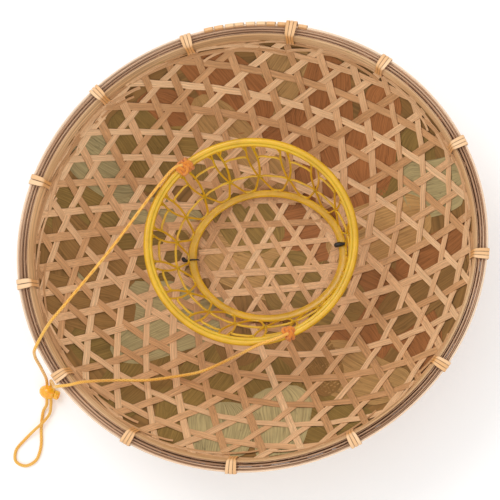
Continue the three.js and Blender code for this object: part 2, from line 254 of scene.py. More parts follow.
def strip_place(place):
    """A strip's own map: along it, with its number as the whole part, and across it."""
    pair = place.node("ShaderNodeUVMap", {"uv_map": "strip"})
    split = place.tree.nodes.new("ShaderNodeSeparateXYZ")
    place.tree.links.new(pair.socket, split.inputs[0])
    return Value(place.tree, split.outputs[0]), Value(place.tree, split.outputs[1])


def vector(x, y, z):
    """A place made of three values or plain numbers."""
    source = next(v for v in (x, y, z) if isinstance(v, Value))
    return source.node("ShaderNodeCombineXYZ", inputs={0: x, 1: y, 2: z})


# Materials

def weave_bamboo():
    """Split bamboo of the weave: each strip has its own tone, and fibres run along it."""
    material, shader, place = start_material("weave strip", Roughness=0.5, Specular_IOR_Level=0.3)
    along, across = strip_place(place)
    number = along.math("FLOOR")
    tone = chance(along, 3)
    stops = [
        (0.0, (0.51, 0.265, 0.115)), (0.3, (0.60, 0.325, 0.15)),
        (0.6, (0.70, 0.41, 0.21)), (1.0, (0.80, 0.51, 0.28)),
    ]
    base = tone.node("ShaderNodeValToRGB", {"stops": stops}, {"Fac": tone})
    fibre = noise(vector(along * 3.0, across, number * 7.3), 9.0, 3.0, 0.6)
    thread = noise(vector(along * 6.0, across * 40.0, number * 3.1), 1.0, 2.0, 0.7)
    middle = noise(vector(along * 1.3, across * 9.0, number * 5.7), 1.0, 1.0)
    shade = 0.62 + 0.30 * between(fibre, 0.3, 0.7) + 0.26 * between(thread, 0.35, 0.62)
    shade = shade + 0.16 * between(middle, 0.42, 0.58)
    feed(shader, place, times(base, shade), 0.4 + 0.3 * fibre, thread + middle * 1.5, 0.45, 0.0006)
    return material


def rim_bamboo(name, tones, spots=0.0):
    """A hoop's split bamboo, with fibres round the rim by the hoop's own place."""
    material, shader, place = start_material(name, Roughness=0.55)
    along, across = strip_place(place)
    number = along.math("FLOOR")
    tone = chance(along, 5)
    slow = noise(vector(along * 9.0, number * 3.3, 0.0), 1.0, 2.0)
    blend = between(tone * 0.7 + slow * 0.8, 0.35, 1.05)
    base = tone.node("ShaderNodeValToRGB", {"stops": tones}, {"Fac": blend})
    thread = noise(vector(along * 16.0, across * 60.0, number), 1.0, 2.0, 0.7)
    line = noise(vector(along * 5.0, across * 22.0, number * 2.0), 1.0, 1.0)
    shade = 0.55 + 0.55 * between(thread, 0.3, 0.7) + 0.2 * between(line, 0.4, 0.55)
    colour = times(base, shade)
    if spots:
        patch = noise(vector(along * 40.0, across * 6.0, number), 1.0, 3.0, 0.7)
        colour = mix(between(patch, 0.6, 0.7) * spots, colour, (0.33, 0.24, 0.05))
    feed(shader, place, colour, 0.45 + 0.25 * thread, thread + line, 0.5, 0.0005)
    return material


def rattan():
    """Peeled strip of the bindings: pale peach, and orange where it lies over the inner hoop, with
    painted shade along its edges.
    """
    material, shader, place = start_material("rattan strip", Roughness=0.42)
    along, across = strip_place(place)
    number = along.math("FLOOR")
    way = along.math("FRACT")
    tone = chance(along, 4)
    stops = [(0.0, (0.78, 0.43, 0.18)), (0.5, (0.86, 0.52, 0.26)), (1.0, (0.92, 0.61, 0.35))]
    base = tone.node("ShaderNodeValToRGB", {"stops": stops}, {"Fac": tone})
    fibre = noise(vector(way * 3.0, across * 14.0, number * 3.7), 1.0, 2.0, 0.6)
    cloud = noise(place, 260.0, 2.0)
    turned_in = between(way, 0.16, 0.24) * between(1 - way, 0.56, 0.66)
    base = mix(turned_in * (0.25 + 0.6 * cloud), base, (0.72, 0.30, 0.055))
    # Painted shade: each turn is darker towards its two edges, where the turns meet.
    edge = between((across - 0.5).math("ABSOLUTE"), 0.36, 0.5)
    shade = 0.78 + 0.34 * fibre - 0.30 * edge
    feed(shader, place, times(base, shade), 0.36 + 0.2 * fibre, fibre, 0.4, 0.0004)
    return material


def leaf_material():
    """Dried leaf: each leaf has its own colour, with veins and folds along it, and painted shade in a
    thin line along each fold.
    """
    material, shader, place = start_material("dried leaf", Roughness=0.6, Specular_IOR_Level=0.15)
    along, across = strip_place(place)
    number = along.math("FLOOR")
    own = place.node("ShaderNodeAttribute", {"attribute_name": "leaf colour"})
    vein = noise(vector(along * 2.0, across * 46.0, number), 1.0, 2.0, 0.6)
    fold = noise(vector(along * 1.5, across * 9.0, number * 1.7), 1.0, 1.0)
    mottle = noise(place, 45.0, 3.0, 0.6)
    # Painted shade: a thin dark line along each fold, where the crease lies in shade.
    painted_crease_shade = between((fold - 0.5).math("ABSOLUTE"), 0.004, 0.016)
    shade = 0.56 + 0.30 * between(vein, 0.36, 0.64) + 0.40 * (mottle - 0.5) + 0.18 * painted_crease_shade
    colour = times(own, shade)
    rust = between(noise(place, 16.0, 2.0), 0.58, 0.74) * 0.35
    colour = mix(rust, colour, (0.28, 0.125, 0.045))
    feed(shader, place, colour, 0.5 + 0.25 * vein, vein + fold * 2.0, 0.5, 0.0008)
    return material


def amber_plastic():
    """Moulded plastic, a little see-through: yellow, with clouds of a duller tone."""
    material, shader, place = start_material(
        "amber plastic", Roughness=0.3, Coat_Weight=0.25, Subsurface_Weight=0.35,
        Subsurface_Scale=0.004, Subsurface_Radius=(1.0, 0.6, 0.1),
    )
    cloud = noise(place, 40.0, 3.0, 0.6)
    speck = noise(place, 900.0, 1.0)
    colour = mix(between(cloud, 0.35, 0.68), (0.76, 0.44, 0.011), (0.63, 0.355, 0.007))
    feed(shader, place, times(colour, 0.92 + 0.16 * speck), 0.24 + 0.2 * cloud, cloud, 0.15, 0.0006)
    return material


def cord_material(name, light_tones):
    """Braided cord: two sets of threads that cross, with orange ones among the lighter, and painted shade
    in the grooves between threads.
    """
    material, shader, place = start_material(name, Roughness=0.75, Sheen_Weight=0.3)
    along, around = strip_place(place)
    right = (along * 260.0 + around * 4.0).math("FRACT")
    left = (along * 260.0 - around * 4.0).math("FRACT")
    weave = (right - 0.5).math("ABSOLUTE") + (left - 0.5).math("ABSOLUTE")
    dash = between(right, 0.58, 0.72) * between(1 - left, 0.3, 0.55)
    cloud = noise(place, 30.0, 2.0)
    light = mix(between(cloud, 0.4, 0.6), *light_tones)
    colour = mix(dash, light, (0.80, 0.27, 0.014))
    # Painted shade: the colour is darkened where the braid's relief is low, in the grooves between
    # threads.
    feed(shader, place, times(colour, 0.75 + 0.4 * weave), 0.7 + 0.1 * weave, weave, 0.6, 0.0008)
    return material


def lock_plastic():
    """Glossy orange plastic, a little see-through, with painted shine in lighter patches."""
    material, shader, place = start_material(
        "lock plastic", Roughness=0.15, Coat_Weight=0.5, Subsurface_Weight=0.5, Subsurface_Scale=0.004
    )
    # Painted shine: the glossier patches are also painted a lighter orange.
    painted_shine = noise(place, 220.0, 2.0)
    colour = mix(between(painted_shine, 0.4, 0.6), (0.95, 0.50, 0.02), (0.88, 0.42, 0.015))
    feed(shader, place, colour, 0.1 + 0.25 * painted_shine, painted_shine, 0.1, 0.0003)
    return material


def black_wire():
    """Black coated wire with a little dust."""
    material, shader, place = start_material("black wire", Roughness=0.45)
    dust = noise(place, 700.0, 2.0)
    black = mix(dust, (0.006, 0.005, 0.004), (0.03, 0.025, 0.02))
    feed(shader, place, black, 0.35 + 0.3 * dust, dust, 0.2)
    return material


# Shapes

def bowl_height(r):
    """Height of the shell's outer face at radius r: flat crown, curved bowl, straight edge."""
    curve = BOWL_TOP * (np.maximum(0, r - CROWN_FLAT) / SPAN) ** BOWL_POWER
    return np.where(r > BOWL_RADIUS, BOWL_TOP + (r - BOWL_RADIUS) * math.tan(RIM_SLOPE), curve)


def bowl_slope(r):
    """The shell's slope in radians, which turns to the rim's within a short bend."""
    rise = BOWL_TOP * BOWL_POWER / SPAN
    slope = np.arctan(rise * (np.maximum(0, r - CROWN_FLAT) / SPAN) ** (BOWL_POWER - 1))
    steeper = np.clip((r - BOWL_RADIUS) / EDGE_BEND + 0.5, 0, 1)
    return slope + (RIM_SLOPE - slope) * steeper


def stretched(x, y, z):
    """Points of the round hat, pulled to the slight oval that it has."""
    c, s = math.cos(OVAL_TURN), math.sin(OVAL_TURN)
    a = (x * c + y * s) * (1 + OVAL_STRETCH)
    b = (y * c - x * s) * (1 - OVAL_STRETCH)
    return np.stack([a * c - b * s, a * s + b * c, z + 0 * a], -1)


def on_bowl(flat, depth):
    """Points of the shell: flat is x + iy of its outer face, depth is towards the hollow."""
    r = np.abs(flat)
    slope = bowl_slope(r)
    unit = flat / np.maximum(r, 1e-9)
    inward = r - depth * np.sin(slope)
    return stretched(inward * unit.real, inward * unit.imag, bowl_height(r) + depth * np.cos(slope))


def on_rim(azimuth, depth, height):
    """Points of the rim: azimuth in radians, depth from the outer face, height over the edge."""
    r = EDGE_RADIUS + height / math.tan(RIM_SLOPE) - depth / math.sin(RIM_SLOPE)
    return stretched(r * np.cos(azimuth), r * np.sin(azimuth), EDGE_HEIGHT + height)


def on_ring(azimuth, r, z):
    """Points of the head ring, leaned and pulled as it is."""
    up = np.clip(z / WALL_TOP, 0, 1)
    x = LARGE_RING["x"] * up + SMALL_RING["x"] * (1 - up)
    y = LARGE_RING["y"] * up + SMALL_RING["y"] * (1 - up)
    pull = LARGE_RING["oval"] * up + SMALL_RING["oval"] * (1 - up)
    along_x = r * np.cos(azimuth) * (1 + pull) + x
    along_y = r * np.sin(azimuth) * (1 - pull) + y
    return np.stack([along_x, along_y, z + RING_BASE + 0 * along_x], -1)


# A flat map of the bowl that keeps angles, for the three-way weave.
MAP_RADII = np.linspace(0.0005, 0.193, 900)
MAP_STEP = np.sqrt(1 + np.tan(bowl_slope(MAP_RADII)) ** 2) / MAP_RADII
MAP_LOG = np.concatenate(
    [[0], np.cumsum((MAP_STEP[1:] + MAP_STEP[:-1]) / 2 * np.diff(MAP_RADII))]
) + math.log(MAP_RADII[0])
MAP_FLAT = np.exp(MAP_LOG)


def from_map(z):
    """Plan places x + iy on the bowl for places on the flat map."""
    size = np.abs(z)
    r = np.interp(size, MAP_FLAT, MAP_RADII)
    return z / np.maximum(size, 1e-9) * np.where(size < MAP_FLAT[0], size, r)


def to_map(flat):
    """Places on the flat map for plan places x + iy on the bowl."""
    size = np.abs(flat)
    return flat / np.maximum(size, 1e-9) * np.interp(size, MAP_RADII, MAP_FLAT)


def grid(bm, columns, rows, place, number=0, close_rows=False, close_columns=False):
    """A sheet of columns by rows faces, put in place by a function of 0 to 1 along and across."""
    made = bmesh.ops.create_grid(bm, x_segments=columns, y_segments=rows, size=0.5, calc_uvs=True)
    verts = made["verts"]
    share = np.array([v.co[:2] for v in verts]) + 0.5
    map_layer = bm.loops.layers.uv.verify()
    # The share along stays off 0 and 1, so that the number is the whole part everywhere.
    for face in {f for v in verts for f in v.link_faces}:
        for loop in face.loops:
            x, y, _ = loop.vert.co
            loop[map_layer].uv = (0.001 + 0.998 * (x + 0.5) + number, y + 0.5)
    for vert, point in zip(verts, place(share[:, 0], share[:, 1])):
        vert.co = point
    seams = []
    if close_rows:
        seams += [v for v, s in zip(verts, share) if s[1] < 1e-4 or s[1] > 1 - 1e-4]
    if close_columns:
        seams += [v for v, s in zip(verts, share) if s[0] < 1e-4 or s[0] > 1 - 1e-4]
    if seams:
        bmesh.ops.remove_doubles(bm, verts=list(set(seams)), dist=1e-6)
    return [v for v in verts if v.is_valid]


def start_mesh():
    """An empty mesh with a map for its strips."""
    bm = bmesh.new()
    bm.loops.layers.uv.new("strip")
    return bm


def finish_mesh(bm, name, material, slot, nodes, sharp=40):
    """Makes the object, which rides on the hat and stands for its nodes."""
    bmesh.ops.dissolve_degenerate(bm, edges=bm.edges[:], dist=1e-6)
    bmesh.ops.recalc_face_normals(bm, faces=bm.faces[:])
    mesh = bpy.data.meshes.new(name)
    bm.to_mesh(mesh)
    bm.free()
    mesh.shade_smooth()
    mesh.set_sharp_from_angle(angle=math.radians(sharp))
    mesh.materials.append(material)
    piece = bpy.data.objects.new(name, mesh)
    bpy.context.scene.collection.objects.link(piece)
    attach(piece, "root")
    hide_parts(*nodes)
    return piece


def thicken(bm, thickness):
    """Gives every sheet of a mesh a wall, half of it on each side."""
    bmesh.ops.dissolve_degenerate(bm, edges=bm.edges[:], dist=0.0001)
    bmesh.ops.recalc_face_normals(bm, faces=bm.faces[:])
    bm.normal_update()
    for vert, normal in [(v, v.normal.copy()) for v in bm.verts]:
        vert.co += normal * (thickness / 2)
    bmesh.ops.solidify(bm, geom=bm.faces[:], thickness=thickness)


def cap(bm, verts):
    """Closes the open ends of a tube."""
    edges = [e for e in {e for v in verts for e in v.link_edges} if e.is_boundary]
    bmesh.ops.holes_fill(bm, edges=edges, sides=0)


def smooth_line(points, steps):
    """A smooth line through points, by the centripetal rule, with steps between each two."""
    points = [np.array(p, float) for p in points]
    ends = [2 * points[0] - points[1], *points, 2 * points[-1] - points[-2]]
    line = []
    for a, b, c, d in zip(ends, ends[1:], ends[2:], ends[3:]):
        pairs = ((a, b), (b, c), (c, d))
        first, second, third = (math.sqrt(np.linalg.norm(q - p)) or 1e-4 for p, q in pairs)
        leave = (b - a) / first - (c - a) / (first + second) + (c - b) / second
        reach = (c - b) / second - (d - b) / (second + third) + (d - c) / third
        leave, reach = leave * second, reach * second
        for i in range(steps):
            t = i / steps
            line.append(
                b + leave * t + (3 * c - 3 * b - 2 * leave - reach) * t**2
                + (2 * b - 2 * c + leave + reach) * t**3
            )
    line.append(points[-1])
    return np.array(line)


def frames(line):
    """A side and an upward direction for each point of a line, without twist."""
    tangent = np.gradient(line, axis=0)
    tangent /= np.linalg.norm(tangent, axis=1)[:, None]
    side = np.cross(tangent[0], (0.13, 0.21, 0.97))
    sides = []
    for direction in tangent:
        side = side - direction * side.dot(direction)
        side = side / np.linalg.norm(side)
        sides.append(side)
    sides = np.array(sides)
    return sides, np.cross(tangent, sides)


def tube(bm, line, radius, sides, number=0, flat=1.0, closed=False, thin=None):
    """A tube along a line: flat squeezes it upward, thin is a curve of its size from end to end."""
    side, up = frames(line)

    def place(u, v):
        k = np.rint(u * (len(line) - 1)).astype(int)
        turn = 2 * math.pi * v
        size = radius * (np.interp(u, *thin) if thin else 1.0)
        aside = side[k] * (np.cos(turn) * size)[:, None]
        upward = up[k] * (np.sin(turn) * size * flat)[:, None]
        return line[k] + (aside + upward)

    verts = grid(bm, len(line) - 1, sides, place, number, close_rows=True, close_columns=closed)
    if not closed:
        cap(bm, verts)


def outline_at(corners, way):
    """Places on a closed outline of corners, for ways of 0 to 1 round it."""
    first, second = np.array([*corners, corners[0]]).T
    steps = range(len(corners) + 1)
    return np.interp(way * len(corners), steps, first), np.interp(way * len(corners), steps, second)


# Three-way weave

# Each set of strips fills a sixth of a flat turn and is opened to a quarter of a turn on the map,
# where its pitch is true at one radius.
WEAVE_EDGE = 0.1911
EDGE_ON_MAP = np.interp(WEAVE_EDGE, MAP_RADII, MAP_FLAT)
WEAVE_SETS = 4
STRIPS_IN_SET = 14
CONE_POWER = 6 / WEAVE_SETS
TRUE_AT = 0.1
CROSSING = math.sin(math.radians(60))
STRIP_THICK = 0.00045
STRIP_STEP = 0.0042
SWING = 0.00048
ANY_PHASE = (0, 6.28)

# How each weave lies on the flat map: middle, turn in degrees, pitch, growth outwards, bend and shear.
INNER_LAY = (-0.0294 + 0.0087j, -23.4, 0.02492, 1.08, -0.001 + 0.014j, 0.034 + 0.007j)
OUTER_LAY = (0.004 + 0.003j, 12.0, 0.0262, 1.06, 0.0, 0.0)
INNER_DEPTH = 0.0033
OUTER_DEPTH = 0.00075
INNER_WIDTHS = (0.0056, 0.0074)
OUTER_WIDTHS = (0.0056, 0.0072)

# Plain weave of the crown, inside the hole of the inner weave, and the strips turned along the rim.
CROWN_HOLE = 0.060
CROWN_REACH = 0.0645
CROWN_PITCH = 0.0215
CROWN_TURN = 92
CROWN_MIDDLE = 0.003 + 0.005j
CROWN_WIDTHS = (0.0048, 0.0066)
EDGE_STRIPS = 22
EDGE_WIDTHS = (0.0020, 0.0034)


class Weave:
    """Strips in four sets round a four-sided middle, which lets the flat weave cup into a bowl."""

    def __init__(self, centre, turn, pitch, grow, bend, shear, seed, hole=0.0):
        self.centre = centre
        self.turn = math.radians(turn)
        self.pitch = pitch
        self.grow = grow
        self.bend = bend
        self.shear = shear
        self.luck = random.Random(seed)
        self.hole = hole

    def line(self, family, number):
        """Plan places along the parts of a strip that lie on the hat, and its swing over and under."""
        t = np.linspace(-0.5, 0.5, 2200)
        drift = [self.luck.uniform(-0.05, 0.05) * self.pitch for _ in range(2)]
        phase = self.luck.uniform(*ANY_PHASE)
        off = (number + 0.5) * self.pitch + drift[0] + drift[1] * np.sin(t * 16 + phase)
        w = off + 1j * t
        cone = CONE_POWER * TRUE_AT ** (1 - 1 / CONE_POWER)
        size = TRUE_AT * ((np.abs(w) / cone) ** CONE_POWER / TRUE_AT) ** self.grow
        angle = np.angle(w) * CONE_POWER + 2 * math.pi * family / WEAVE_SETS + self.turn
        z = size * np.exp(1j * angle)
        z = self.centre + z + self.bend * z * z / TRUE_AT + self.shear * np.conj(z)
        size = np.abs(z)
        kept = (size < EDGE_ON_MAP) & (size > self.hole)
        swing = (-1) ** number * np.sin(2 * math.pi * t / (self.pitch / CROSSING))
        for part in np.split(np.arange(len(t)), np.flatnonzero(np.diff(kept)) + 1):
            if kept[part[0]] and len(part) > 12:
                yield from_map(z[part]), swing[part]

    def strips(self):
        for family in range(WEAVE_SETS):
            for number in range(STRIPS_IN_SET):
                yield from self.line(family, number)


def weave_strip(bm, flat, swing, depth, side, width, number):
    """One strip laid along plan places at a depth, swinging towards side."""
    base = on_bowl(flat, depth)
    steps = np.concatenate([[0], np.cumsum(np.linalg.norm(np.diff(base, axis=0), axis=1))])
    columns = max(4, int(steps[-1] / STRIP_STEP))
    even = np.linspace(0, steps[-1], columns + 1)
    flat = np.interp(even, steps, flat.real) + 1j * np.interp(even, steps, flat.imag)
    lift = np.interp(even, steps, swing) * SWING * side
    line = on_bowl(flat, depth + lift)
    out = line - on_bowl(flat, depth + lift + 0.001)
    out /= np.linalg.norm(out, axis=1)[:, None]
    across = np.cross(out, np.gradient(line, axis=0))
    across /= np.linalg.norm(across, axis=1)[:, None]

    def place(u, v):
        k = np.rint(u * columns).astype(int)
        return line[k] + across[k] * ((v - 0.5) * width)[:, None]

    grid(bm, columns, 4, place, number)


def crown_strips():
    """The plain flat weave of the crown, which ends under the head ring's small ring."""
    luck = random.Random(5)
    found = []
    for family in range(3):
        for number in range(-3, 3):
            off = (number + 0.5 + luck.uniform(-0.1, 0.1)) * CROWN_PITCH
            half = math.sqrt(CROWN_REACH**2 - off**2)
            t = np.linspace(-half, half, 90)
            turn = math.radians(CROWN_TURN + 60 * family + luck.uniform(-3, 3))
            flat = (off + 1j * t) * np.exp(1j * turn) + CROWN_MIDDLE
            swing = (-1) ** number * np.sin(2 * math.pi * t * CROSSING / CROWN_PITCH)
            found.append((flat, swing, luck.uniform(*CROWN_WIDTHS)))
    return found


def edge_strips():
    """Narrow strips that run round just under the rim, where ends of the weave are turned along it."""
    luck = random.Random(8)
    t = np.linspace(0, 1, 240)
    found = []
    for i in range(EDGE_STRIPS):
        start = luck.uniform(*ANY_PHASE)
        reach = luck.uniform(1.1, 2.6)
        low = luck.uniform(0.1790, 0.1850)
        high = luck.uniform(0.1882, 0.1893)
        r = low + (high - low) * np.sin(math.pi * t) ** 0.7
        flat = r * np.exp(1j * (start + reach * t))
        swing = 1.1 + 0.35 * np.sin(t * 40 + i)
        found.append((flat, swing, luck.uniform(*EDGE_WIDTHS)))
    return found


def build_weave(name, node, look, weave, depth, side, widths, extra=()):
    """All strips of a weave, and extra ones given as plan places, swing and width."""
    bm = start_mesh()
    strips = [(flat, swing, weave.luck.uniform(*widths)) for flat, swing in weave.strips()]
    for number, (flat, swing, width) in enumerate([*strips, *extra]):
        weave_strip(bm, flat, swing, depth, side, width, number)
    thicken(bm, STRIP_THICK)
    finish_mesh(bm, name, look, "bamboo_weave", [node], sharp=50)


# Leaf lining

OLIVE = (0.29, 0.175, 0.05)
SAGE = (0.46, 0.36, 0.17)
RUST = (0.35, 0.135, 0.045)
STRAW = (0.48, 0.27, 0.10)
UMBER = (0.27, 0.14, 0.045)

# Leaf colours by place on the hat: azimuth in degrees, radius in metres, tone.
LEAF_TONES = [
    (130, 0.16, OLIVE), (150, 0.13, SAGE), (112, 0.16, RUST), (95, 0.13, STRAW), (95, 0.17, RUST),
    (80, 0.15, STRAW), (72, 0.15, RUST), (60, 0.14, STRAW), (50, 0.16, RUST), (35, 0.16, OLIVE),
    (22, 0.13, OLIVE), (15, 0.16, SAGE), (8, 0.16, RUST), (10, 0.12, STRAW), (-12, 0.14, UMBER),
    (-25, 0.14, RUST), (-40, 0.15, STRAW), (-38, 0.11, RUST), (-52, 0.13, OLIVE), (-65, 0.16, OLIVE),
    (-82, 0.15, SAGE), (-95, 0.16, SAGE), (-100, 0.12, OLIVE), (-115, 0.14, OLIVE), (-130, 0.12, SAGE),
    (-145, 0.15, OLIVE), (-165, 0.12, SAGE), (180, 0.16, UMBER), (170, 0.12, OLIVE), (160, 0.17, OLIVE),
    (120, 0.10, OLIVE), (60, 0.09, RUST), (0, 0.09, OLIVE), (-60, 0.09, UMBER), (-120, 0.09, SAGE),
    (90, 0.04, RUST), (180, 0.04, STRAW), (-30, 0.04, OLIVE), (-120, 0.04, UMBER),
]

# Rings of leaves: radius, how many, and their length. Layers: the way its leaves step, and its depth.
LEAF_RINGS = [(0.158, 22, 0.11), (0.112, 15, 0.11), (0.06, 8, 0.12), (0.015, 3, 0.1)]
LEAF_LAYERS = [(1, 0.0021), (-1, 0.0018)]
LEAF_WIDTHS = (0.048, 0.066)
LEAF_THICK = 0.00012
BASE_DEPTH = 0.00195
BASE_HOLE = 0.001


def leaf_tone(flat, luck):
    """The tone of the nearest place in the table, and now and then of a near one."""

    def distance(row):
        azimuth, radius, _ = row
        return abs(flat - rect(radius, math.radians(azimuth))) + luck.uniform(0, 0.02)

    tone = min(LEAF_TONES, key=distance)[2]
    light = luck.uniform(0.85, 1.15)
    return tuple(part * light for part in tone)


def lay_leaf(bm, colours, flat, heading, length, width, depth, number, luck):
    """One leaf: a long blade laid on the bowl at a depth, drawn in where it would pass the rim."""
    middle = to_map(np.array([flat]))[0]
    scale = abs(middle) / max(abs(flat), 1e-6)
    free = 0.8 * EDGE_ON_MAP
    rest = 0.2 * EDGE_ON_MAP
    tip = luck.uniform(0.55, 0.95)
    sway = luck.uniform(*ANY_PHASE)

    def place(u, v):
        ends = 0.25 + 0.75 * np.minimum(1, 1.3 * np.sqrt(np.abs(np.sin(math.pi * u))))
        half = width / 2 * ends * (1 - (1 - tip) * u)
        bend = 0.006 * np.sin(3 * u + sway)
        local = (u - 0.5) * length + 1j * ((2 * v - 1) * half + bend)
        z = middle + local * scale * np.exp(1j * heading)
        size = np.abs(z)
        drawn_in = EDGE_ON_MAP - rest * np.exp((free - size) / rest)
        z = z / np.maximum(size, 1e-9) * np.where(size < free, size, drawn_in)
        return on_bowl(from_map(z), depth)

    verts = grid(bm, 28, 14, place, number)
    tone = leaf_tone(flat, luck)
    for vert in verts:
        vert[colours] = (*tone, 1)


def build_leaves():
    """Two layers of leaves, with a plain sheet between them that shuts the last gaps."""
    bm = start_mesh()
    colours = bm.verts.layers.float_color.new("leaf colour")
    luck = random.Random(11)
    number = 0
    for side, middle in LEAF_LAYERS:
        for ring, (radius, count, reach) in enumerate(LEAF_RINGS):
            for i in range(count):
                turn = 2 * math.pi * (i + luck.uniform(-0.3, 0.3)) / count + ring
                flat = rect(radius + luck.uniform(-0.012, 0.012), turn)
                heading = turn + luck.gauss(0, 0.35)
                length = reach * luck.uniform(0.8, 1.2)
                width = luck.uniform(*LEAF_WIDTHS)
                depth = middle + side * (0.00008 + 0.00044 * (number * 0.618 % 1))
                lay_leaf(bm, colours, flat, heading, length, width, depth, number, luck)
                number += 1

    def base(u, v):
        flat = (BASE_HOLE + (WEAVE_EDGE - BASE_HOLE) * v) * np.exp(2j * math.pi * u)
        return on_bowl(flat, BASE_DEPTH + 0 * v)

    verts = grid(bm, 72, 24, base, number, close_columns=True)
    for vert in verts:
        vert[colours] = (*UMBER, 1)
    cap(bm, [v for v in verts if v.is_boundary and math.hypot(v.co.x, v.co.y) < 10 * BASE_HOLE])
    thicken(bm, LEAF_THICK)
    finish_mesh(bm, "dried_leaves", leaf_material(), "dried_leaf", ["leaf_lining"], sharp=60)


# Rim

# Strips of each node: depth from and to, then low and high.
HOOP_STRIPS = {
    "outer_hoop": [(-0.0029, -0.0016, -0.0064, 0.0053)],
    "core_strip_outer": [
        (-0.0012, -0.0005, -0.0058, 0.0040),
        (0.0001, 0.0009, 0.0002, 0.0046),
        (0.0014, 0.0019, -0.0045, 0.0022),
    ],
    "core_strip_inner": [(0.0024, 0.0031, 0.0003, 0.0044), (0.0044, 0.0050, -0.0050, 0.0036)],
    "inner_hoop": [(0.0055, 0.0069, -0.0052, 0.0047)],
}
HOOP_WANDER = 0.0001

BINDING_AZIMUTHS = [
    80, 54.5, 25.4, -4.3, -34.1, -62.7, -93.5, -120.6, -144.9, -171.3, 160.9, 133, 106.7
]
BINDING_WIDTH = 0.0092
BINDING_BACK = -0.0040
BINDING_FRONT = 0.0080
BINDING_TOP = 0.0066
BINDING_LOW = -0.0086
RATTAN_THICK = 0.0005
RATTAN_CROWN = 0.00018

SPLICE_FROM, SPLICE_TO = 76, 102
SPLICE_WRAPS = 10
SPLICE_BACK = 0.0018
SPLICE_TOP = 0.0011
SPLICE_OUTLINE = [
    (-0.0040, -0.0072), (-0.0020, -0.0071), (-0.0015, -0.005), (-0.0015, 0.003), (-0.0018, 0.0060),
    (-0.0036, 0.0063), (-0.0044, 0.0048), (-0.0045, -0.002), (-0.0043, -0.0058),
]


def waver(luck, size):
    """A gentle wander round the rim."""
    terms = []
    for waves in (1, 2, 3, 5, 8, 13):
        reach = luck.uniform(-1, 1) * size / math.sqrt(waves)
        terms.append((waves, reach, luck.uniform(*ANY_PHASE)))
    return lambda azimuth: sum(reach * np.sin(waves * azimuth + phase) for waves, reach, phase in terms)


def hoop_strip(bm, near, far, low, high, number, luck):
    """A split strip round the rim, from depth near to far, with rounded edges."""
    edge = min(far - near, high - low) * 0.22
    corners = [
        (near + edge, low), (far - edge, low), (far, low + edge), (far, high - edge),
        (far - edge, high), (near + edge, high), (near, high - edge), (near, low + edge),
    ]
    depth_wave = waver(luck, HOOP_WANDER)
    height_wave = waver(luck, HOOP_WANDER * 1.5)

    def place(u, v):
        azimuth = 2 * math.pi * u
        depth, height = outline_at(corners, v)
        return on_rim(azimuth, depth + depth_wave(azimuth), height + height_wave(azimuth))

    grid(bm, ROUND_STEPS, len(corners), place, number, close_rows=True, close_columns=True)


def build_rim():
    """The two hoops and the splits of brown bamboo between them."""
    light = [(0.0, (0.74, 0.46, 0.27)), (0.45, (0.88, 0.62, 0.42)), (1.0, (0.94, 0.74, 0.54))]
    brown = [(0.0, (0.24, 0.11, 0.055)), (0.5, (0.46, 0.255, 0.14)), (1.0, (0.76, 0.50, 0.32))]
    tan = [(0.0, (0.44, 0.23, 0.095)), (0.5, (0.58, 0.33, 0.15)), (1.0, (0.74, 0.48, 0.26))]
    looks = {
        "outer_hoop": rim_bamboo("outer hoop bamboo", light),
        "core_strip_outer": rim_bamboo("core bamboo", brown),
        "inner_hoop": rim_bamboo("inner hoop bamboo", tan, spots=0.5),
    }
    looks["core_strip_inner"] = looks["core_strip_outer"]
    slots = {"outer_hoop": "bamboo_hoop", "inner_hoop": "bamboo_hoop"}
    luck = random.Random(5)
    for node, strips in HOOP_STRIPS.items():
        bm = start_mesh()
        for number, (near, far, low, high) in enumerate(strips):
            hoop_strip(bm, near, far, low, high, number, luck)
        finish_mesh(bm, node + "_splits", looks[node], slots.get(node, "bamboo_core"), [node])


def band(bm, outline, azimuths, widths, number):
    """A slightly domed strip round a rim section, its azimuths and widths by the way round it."""
    middle_depth, middle_height = np.mean([*outline, outline[0]], axis=0)

    def place(u, v):
        depth, height = outline_at(outline, u)
        away = np.hypot(depth - middle_depth, height - middle_height)
        dome = RATTAN_CROWN * (1 - (2 * v - 1) ** 2) / away
        depth = depth + (depth - middle_depth) * dome
        height = height + (height - middle_height) * dome
        azimuth = azimuths(u) + (v - 0.5) * widths(u) / EDGE_RADIUS
        return on_rim(azimuth, depth, height)

    grid(bm, len(outline) * 3, 3, place, number, close_columns=True)


def gathered(u, least, most):
    """A measure by the way round a binding: least on its inner side, where its turns draw together."""
    return most - (most - least) * np.exp(-((u - 0.3) * 7) ** 2)


def build_bindings(look):
    """Two or three turns of rattan round the rim at each place, drawn together inside."""
    luck = random.Random(21)
    low, front = BINDING_LOW, BINDING_FRONT
    for i, azimuth in enumerate(BINDING_AZIMUTHS):
        bm = start_mesh()
        spliced = SPLICE_FROM < azimuth < SPLICE_TO
        back = BINDING_BACK - (SPLICE_BACK if spliced else 0)
        top = BINDING_TOP + (SPLICE_TOP if spliced else 0)
        outline = [
            (back + 0.001, low), (front - 0.001, low), (front, low + 0.001), (front, -0.003),
            (front, top - 0.0015), (front - 0.0015, top), (0.002, top + 0.0003), (back + 0.0015, top),
            (back, top - 0.0015), (back, -0.003), (back, low + 0.001),
        ]
        turns = luck.choice((2, 3, 3, 3))
        wide = BINDING_WIDTH / turns
        for turn in range(turns):
            aside = (turn - (turns - 1) / 2) * wide * 1.02 / EDGE_RADIUS
            band(
                bm, outline, lambda u: math.radians(azimuth) + aside * gathered(u, 0.72, 1.0),
                lambda u: wide * gathered(u, 0.62, 0.88), turn + 7 * i,
            )
        thicken(bm, RATTAN_THICK)
        name = f"rim_binding_{i + 1:02d}"
        finish_mesh(bm, name + "_turns", look, "rattan", [name], sharp=50)


